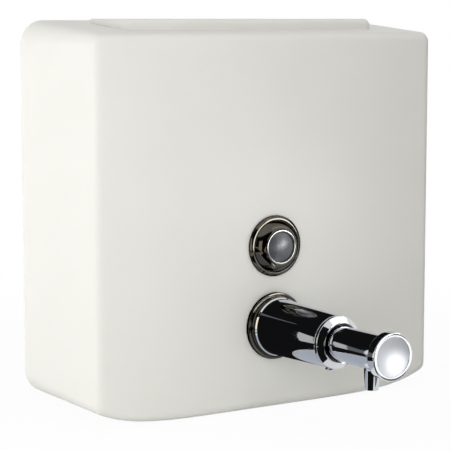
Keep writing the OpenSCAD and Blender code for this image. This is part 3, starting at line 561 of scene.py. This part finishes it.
# lens: two spheres about one centre, joined by the foot that the lens is held by
domeR = (window["lens"] ** 2 + window["dome"] ** 2) / (2 * window["dome"])
domeCentre = window["lensRim"] + window["dome"] - domeR
rOut = np.linspace(0, window["lens"], window["outSteps"])
rIn = np.linspace(window["lens"] - window["lensWall"], 0, window["inSteps"])
lensOut = np.stack([rOut, domeCentre + np.sqrt(domeR ** 2 - rOut ** 2)], -1)
lensIn = np.stack([rIn, domeCentre + np.sqrt((domeR - window["lensWall"]) ** 2 - rIn ** 2)], -1)
lensProfile = np.concatenate([lensOut, window["lensSide"], lensIn])
lensMesh = turnedMesh("windowLens", lensProfile, place["windowZ"], ring=False, around=96)
addPiece("window_glass", lensMesh, "case", "window_lens", "clear_acrylic")
print("window ready")

# pump: round-edged rose with a groove, tapered barrel, coned collar ring
pump = {"rose": [(10.85, 0.0, 0.05), (15.6, 0.0, 0.2), (16.5, 0.6, 0.5), (16.8, 1.5, 0.6), (16.6, 2.75, 0.5),
                 (15.55, 3.0, 0.2), (15.25, 2.45, 0.08), (15.0, 2.5, 0.06),  # groove
                 (14.95, 3.55, 0.12), (14.7, 4.0, 0.12), (10.85, 4.0, 0.05)],
        "barrel": [(9.0, -20.0, 0.1), (10.8, -20.0, 0.3), (10.8, 4.0, 0.02),  # shank
                   (14.6, 4.0, 0.1), (14.6, 5.6, 0.1), (14.0, 6.2, 0.12),  # foot
                   (12.65, 52.5, 0.3), (10.5, 52.5, 0.05), (10.5, 44.5, 0.05), (9.0, 44.5, 0.05)],  # taper, bush seat
        "collar": [(9.25, 52.5, 0.1), (12.65, 52.5, 0.3), (12.65, 54.3, 0.45), (9.95, 56.5, 0.4), (9.25, 56.4, 0.12)],
        "collarSteps": 8}
roseMesh = turnedMesh("pumpFlange", rounded(pump["rose"]), place["pumpZ"])
addPiece("pump_rose", roseMesh, "case", "pump_flange", "black_nickel")
barrelMesh = turnedMesh("pumpBarrel", rounded(pump["barrel"]), place["pumpZ"])
addPiece("pump_tube", barrelMesh, "case", "pump_barrel", "chrome_plate")
collarMesh = turnedMesh("barrelCollar", rounded(pump["collar"], pump["collarSteps"]), place["pumpZ"])
addPiece("collar_ring", collarMesh, "case", "barrel_collar", "chrome_plate")

# the set screw under the barrel: a turned pan head with a socket; its heights run down from the pump's axis
screw = {"out": 48.5, "profile": [(0, 10.55, 0), (1.5, 10.55, 0), (1.5, 12.965, 0),  # shank
                                  (2.6, 12.965, 0.1), (2.6, 14.165, 0.6),  # head
                                  (1.1, 14.165, 0.1), (1.1, 13.465, 0), (0, 13.465, 0)]}  # socket


# a turned profile whose height runs straight down from the pump's axis, at a distance out from the front
def hanging(profile, out, around=64):
    p = turned(profile, around)
    return np.stack([p[..., 0], place["frontY"] - out + p[..., 1], place["pumpZ"] - p[..., 2]], -1)


screwMesh = buildMesh("bushScrew", [gridFaces(hanging(rounded(screw["profile"]), screw["out"]))])
addPiece("set_screw", screwMesh, "case", "bush_screw", "chrome_plate")
print("pump body ready")

# what the finger pushes: tube, dished button and spout
plunger = {"tube": [(5.05, 36.0, 0.1), (8.3, 36.0, 0.3), (8.3, 88.6, 0.35), (4.05, 88.6, 0.1), (4.05, 84.6, 0.05),
                    (2.5, 84.6, 0.05), (2.5, 44.0, 0.05), (5.05, 44.0, 0.05)],
           "button": [(0, 84.8, 0), (4.0, 84.8, 0.1), (4.0, 88.6, 0.05), (8.0, 88.6, 0.2), (7.8, 90.3, 0.3),  # stem
                      (11.1, 90.6, 0.9), (11.1, 96.0, 0.5), (9.5, 96.0, 0.12)],  # cap
           "buttonSteps": 8, "dishR": 9.5, "dishH": 96.0, "dish": 2.0, "dishEdge": 0.25, "dishSteps": 40,
           "spout": [(2.2, 3.3, 0.05), (3.75, 3.3, 0.1), (3.75, 8.3, 0.5), (3.2, 17.8, 0.35), (2.2, 17.8, 0.2)],
           "spoutOut": 80.4}
tubeMesh = turnedMesh("plungerTube", rounded(plunger["tube"]), place["pumpZ"])
addPiece("plunger_skin", tubeMesh, "plunger", "plunger_tube", "chrome_plate")

# dish: a hollow sphere of radius R through its edge and its middle, h = bottom + R - sqrt(R^2 - r^2)
dishBall = (plunger["dishR"] ** 2 + plunger["dish"] ** 2) / (2 * plunger["dish"])
rDish = np.linspace(plunger["dishR"] - plunger["dishEdge"], 0, plunger["dishSteps"])
dishArc = np.stack([rDish, plunger["dishH"] - plunger["dish"] + dishBall - np.sqrt(dishBall ** 2 - rDish ** 2)], -1)
buttonSide = rounded(plunger["button"] + [(*dishArc[0], 0)], plunger["buttonSteps"])
buttonMesh = turnedMesh("pushButton", np.concatenate([buttonSide, dishArc]), place["pumpZ"], ring=False)
addPiece("button_skin", buttonMesh, "plunger", "push_button", "chrome_plate", chromePlate("chromeButton", True))

spoutMesh = buildMesh("spout", [gridFaces(hanging(rounded(plunger["spout"]), plunger["spoutOut"]), wrapRows=True)])
addPiece("spout_skin", spoutMesh, "plunger", "spout", "chrome_plate")
print("plunger ready")

# hinge rivets with domed heads, one shell each; their heights stand out of the sloping top
rivet = {"xs": (-52, -26, 26, 52), "y": -4.475, "steps": 8,
         "profile": [(0, -3.0, 0), (2.0, -3.0, 0.6), (2.0, -2.2, 0.05), (1.2, -2.2, 0),  # inner head
                     (1.2, 0, 0), (2.0, 0, 0.05), (1.9, 0.8, 0.7), (0, 0.8, 0)]}  # shank, outer head
rivetShape = turned(rounded(rivet["profile"], rivet["steps"]), 40)
rivetShells = [gridFaces(onTop(rivetShape + np.array([x, rivet["y"], 0]))) for x in rivet["xs"]]
rivetMesh = buildMesh("hingeRivets", rivetShells)
addPiece("rivet_heads", rivetMesh, "case", "hinge_rivets", "stainless_steel")
print("rivets ready")

# return spring inside the pump: the coil's centre line is (R cos a, R sin a, h), where h climbs one wire thickness
# a turn in the closed end turns and eases into the pitch between them; the wire is a circle set across that line
spring = {"coil": 4.7, "wire": 0.5, "turns": 8, "seat": -20.0, "piston": 10.0, "clear": 0.05, "stroke": 15.0,
          "perTurn": 40, "sides": 12}
along = np.linspace(0, 1, spring["turns"] * spring["perTurn"] + 1)
coilAngle = 2 * np.pi * spring["turns"] * along
low = spring["seat"] + spring["wire"] + spring["clear"]
high = spring["piston"] - spring["wire"] - spring["clear"]
closed = 2 * spring["wire"] * spring["turns"] * along
open01 = np.clip((spring["turns"] * along - 1) / (spring["turns"] - 2), 0, 1)
climb = low + closed + (high - low - closed[-1]) * open01 ** 2 * (3 - 2 * open01)
outward = np.stack([np.cos(coilAngle), np.sin(coilAngle), np.zeros_like(coilAngle)], -1)
line = outward * spring["coil"] + np.stack([0 * climb, 0 * climb, climb], -1)
across = np.cross(np.gradient(line, axis=0), outward)
across /= np.linalg.norm(across, axis=1, keepdims=True)
v = np.linspace(0, 2 * np.pi, spring["sides"], endpoint=False)[None, :, None]
wire = line[:, None] + spring["wire"] * (np.cos(v) * outward[:, None] + np.sin(v) * across[:, None])
springMesh = buildMesh("returnSpring", [gridFaces(onFront(wire, place["pumpZ"]), caps=True)])
coil = addPiece("pump_spring", springMesh, "case", "return_spring", "stainless_steel")
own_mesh(coil)
print("spring ready")

# camera from the fit of the photograph's perspective: it looks to the right by yaw and down by pitch, in degrees
shot = {"at": (-465.47, -748.64, 96.13), "yaw": 32.69, "pitch": -6.975, "lens": 134.1, "film": 36, "farM": 50}
lensData = bpy.data.cameras.new("photoCamera")
lensData.lens = shot["lens"]
lensData.sensor_width = shot["film"]
lensData.clip_end = shot["farM"]
camera = bpy.data.objects.new("photoCamera", lensData)
bpy.context.scene.collection.objects.link(camera)
camera.location = Vector(shot["at"]) * mm
camera.rotation_euler = np.radians([90 + shot["pitch"], 0, -shot["yaw"]]).tolist()
bpy.context.scene.camera = camera

# white studio: a floor, cards just above it or before the front, and a plain fill
studio = {"floorZ": -97.4, "floorHalf": 9000, "floorPaint": "#F2F2F0", "tableZ": -96.9, "panelGap": 0.6, "fill": 0.26,
          "shadowCore": 120, "shadowReach": 420, "shadowWhite": 0.95}


def flatCard(name, corners, material):
    mesh = bpy.data.meshes.new(name)
    mesh.from_pydata((np.array(corners, float) * mm).tolist(), [], [(0, 1, 2, 3)])
    mesh.materials.append(material)
    card = bpy.data.objects.new(name, mesh)
    bpy.context.scene.collection.objects.link(card)
    return card


# corners of a card that lies on the table, face up; it faces down where x0 is the larger
def lying(x0, x1, y0, y1, z=studio["tableZ"]):
    return [(x0, y0, z), (x1, y0, z), (x1, y1, z), (x0, y1, z)]


# corners of an upright card over the line from start to end
def standing(start, end, low, high):
    return [(*start, low), (*start, high), (*end, high), (*end, low)]


# corners of a card that hangs just before the front, given as (x, z); such cards paint reflections into the chrome
def onPanel(corners, gap=studio["panelGap"]):
    return [(x, place["frontY"] - gap, z) for x, z in corners]


# 1 for the rays of the eye, of metal and of glass, 0 for the light that falls on things
def directlySeen(tree):
    rays = addNode(tree, "ShaderNodeLightPath").outputs
    eyeOrMetal = addNode(tree, "ShaderNodeMath", {"operation": "MAXIMUM"},
                         {0: rays["Is Camera Ray"], 1: rays["Is Glossy Ray"]})
    return addNode(tree, "ShaderNodeMath", {"operation": "MAXIMUM"},
                   {0: eyeOrMetal.outputs[0], 1: rays["Is Transmission Ray"]}).outputs[0]


# floor: white to the eye and to metal, and it keeps a soft shadow close to the object
floorPaint, tree, surface, coords = newMaterial("studioFloor")
reach = addNode(tree, "ShaderNodeVectorMath", {"operation": "LENGTH"}, {0: coords})
fade = addNode(tree, "ShaderNodeMapRange", {"From Min": studio["shadowCore"] * mm, "To Min": studio["shadowWhite"],
               "From Max": studio["shadowReach"] * mm, "To Max": 1.0}, {"Value": reach.outputs["Value"]})
share = addNode(tree, "ShaderNodeMath", {"operation": "MULTIPLY"}, {0: directlySeen(tree), 1: fade.outputs[0]})
matte = addNode(tree, "ShaderNodeBsdfDiffuse", {"Color": hexColour(studio["floorPaint"])})
glow = addNode(tree, "ShaderNodeEmission", {"Color": (1, 1, 1, 1), "Strength": 1.0})
both = addNode(tree, "ShaderNodeMixShader", {}, {0: share.outputs[0], 1: matte.outputs[0], 2: glow.outputs[0]})
tree.links.new(both.outputs[0], surface)
half = studio["floorHalf"]
flatCard("studioFloorPlane", lying(-half, half, -half, half, studio["floorZ"]), floorPaint)

# world: white to the eye and to metal, a plain grey fill for everything else
world = bpy.data.worlds.new("studioWorld")
bpy.context.scene.world = world
world.use_nodes = True
tree = world.node_tree
tree.nodes.clear()
fillLight = addNode(tree, "ShaderNodeBackground", {"Color": (1, 1, 1, 1), "Strength": studio["fill"]})
whiteSky = addNode(tree, "ShaderNodeBackground", {"Color": (1, 1, 1, 1), "Strength": 1.0})
both = addNode(tree, "ShaderNodeMixShader", {}, {0: directlySeen(tree), 1: fillLight.outputs[0],
               2: whiteSky.outputs[0]})
addNode(tree, "ShaderNodeOutputWorld", {}, {"Surface": both.outputs[0]})

# cards that only polished surfaces see, as a photographer puts them round chrome; from behind they are clear; those
# that hang just before the front paint reflections into the chrome in place of the white front
cardLooks = {"black": ("#151516", 1.0), "white": ("#CFCFCD", 1.0), "shade": ("#C3C9D2", 1.0),
             "bright": ("#FFFFFF", 1.7), "warm": ("#C9C0AC", 2.6), "grey": ("#6A6C70", 1.0),
             "glow": ("#FFFFFF", 8.5), "glint": ("#FFFFFF", 11.0)}
cards = {
    # painted reflection: a black card just before the white front, seen only by metal, so the pump's chrome and the
    # window's frame reflect a dark front where the real front is white
    "paintedDarkFrontReflection": ("black", onPanel([(-98, -92), (98, -92), (98, 89), (-98, 89)], 0.3)),
    "tableFlag": ("black", lying(-700, 40, -345, -235)),
    "rightFlag": ("black", lying(280, 700, -345, -235)),
    "nearFlag": ("black", lying(-120, -14, -235, -125, -96.8)),
    "farFlag": ("black", lying(-1300, -120, -1300, -345)),
    "windowFlag": ("black", lying(190, 600, -560, -400)),
    "cameraFlag": ("black", standing((-1500, -300), (300, -1500), -96, 900)),
    # painted highlights and reflections: white and grey cards just before the front, seen only by metal, paint the
    # barrel's top streak, its highlight near the collar, a thin line along it and the plunger's grey band
    "paintedBarrelTopHighlight": ("white", onPanel([(2, -48), (90, -48), (90, 8), (2, -35)])),
    "paintedBarrelHighlight": ("white", onPanel([(-73, -66), (-56, -66), (-53, -38), (-70, -38)])),
    "paintedBarrelLineReflection": ("grey", onPanel([(-14, -46), (-13, -44.5), (-37, -21.5), (-38, -23)])),
    "paintedPlungerReflection": ("grey", onPanel([(-98, -66), (-74, -66), (-71, -38), (-98, -38)])),
    "leftFlag": ("black", lying(-800, -190, -185, 150)),
    "underCard": ("shade", lying(-160, 160, -112, 150, -97.2)),
    "rimCard": ("bright", lying(75, 225, -435, -275, -96.7)),
    "dishShade": ("grey", lying(15, 100, -270, -205)),
    "crownCard": ("warm", standing((-303, -171), (-228, -275), -96, 90)),
    "dishGlint": ("glow", standing((55, -570), (250, -494), -88, 25)),
    "collarCard": ("bright", lying(430, 20, -330, -160, 200)),
    "lensGlint": ("glint", standing((41, -162), (73, -138), -17, 14)),
}
cardPaint = {}
for look, (colour, strength) in cardLooks.items():
    cardPaint[look], tree, surface = newMaterial(look + "Card")[:3]
    behind = addNode(tree, "ShaderNodeNewGeometry").outputs["Backfacing"]
    glow = addNode(tree, "ShaderNodeEmission", {"Color": hexColour(colour), "Strength": strength})
    clearSide = addNode(tree, "ShaderNodeBsdfTransparent")
    both = addNode(tree, "ShaderNodeMixShader", {}, {0: behind, 1: glow.outputs[0], 2: clearSide.outputs[0]})
    tree.links.new(both.outputs[0], surface)
for name, (look, corners) in cards.items():
    card = flatCard(name, corners, cardPaint[look])
    card.visible_camera = card.visible_diffuse = card.visible_shadow = card.visible_transmission = False

# lamps: a soft key before the front's left end, a side lamp from behind on the left, one above,
# and weak panels front and back
lamps = {
    "keyLamp": {"at": (-245, -405, -40), "to": (-20, -50, -20), "size": (260, 700), "watts": 1.7},
    "sideLamp": {"at": (-640, 330, 20), "to": (-104, -30, 0), "size": (300, 400), "watts": 3.4},
    "topLamp": {"at": (30, -150, 600), "to": (0, -40, 90), "size": (300, 200), "watts": 1.0},
    "frontLamp": {"at": (420, -760, 240), "to": (0, -60, 0), "size": (380, 420), "watts": 0.05},
    "backLamp": {"at": (-200, 600, 300), "to": (0, 0, 60), "size": (500, 400), "watts": 0.4},
}
for name, lamp in lamps.items():
    data = bpy.data.lights.new(name, "AREA")
    data.shape = "RECTANGLE"
    data.size, data.size_y = (s * mm for s in lamp["size"])
    data.energy = lamp["watts"]
    stand = bpy.data.objects.new(name, data)
    bpy.context.scene.collection.objects.link(stand)
    stand.location = Vector(lamp["at"]) * mm
    stand.rotation_euler = (Vector(lamp["to"]) - Vector(lamp["at"])).to_track_quat("-Z", "Y").to_euler()
    stand.visible_glossy = False
print("stage ready")

bpy.context.scene.view_settings.view_transform = "Standard"
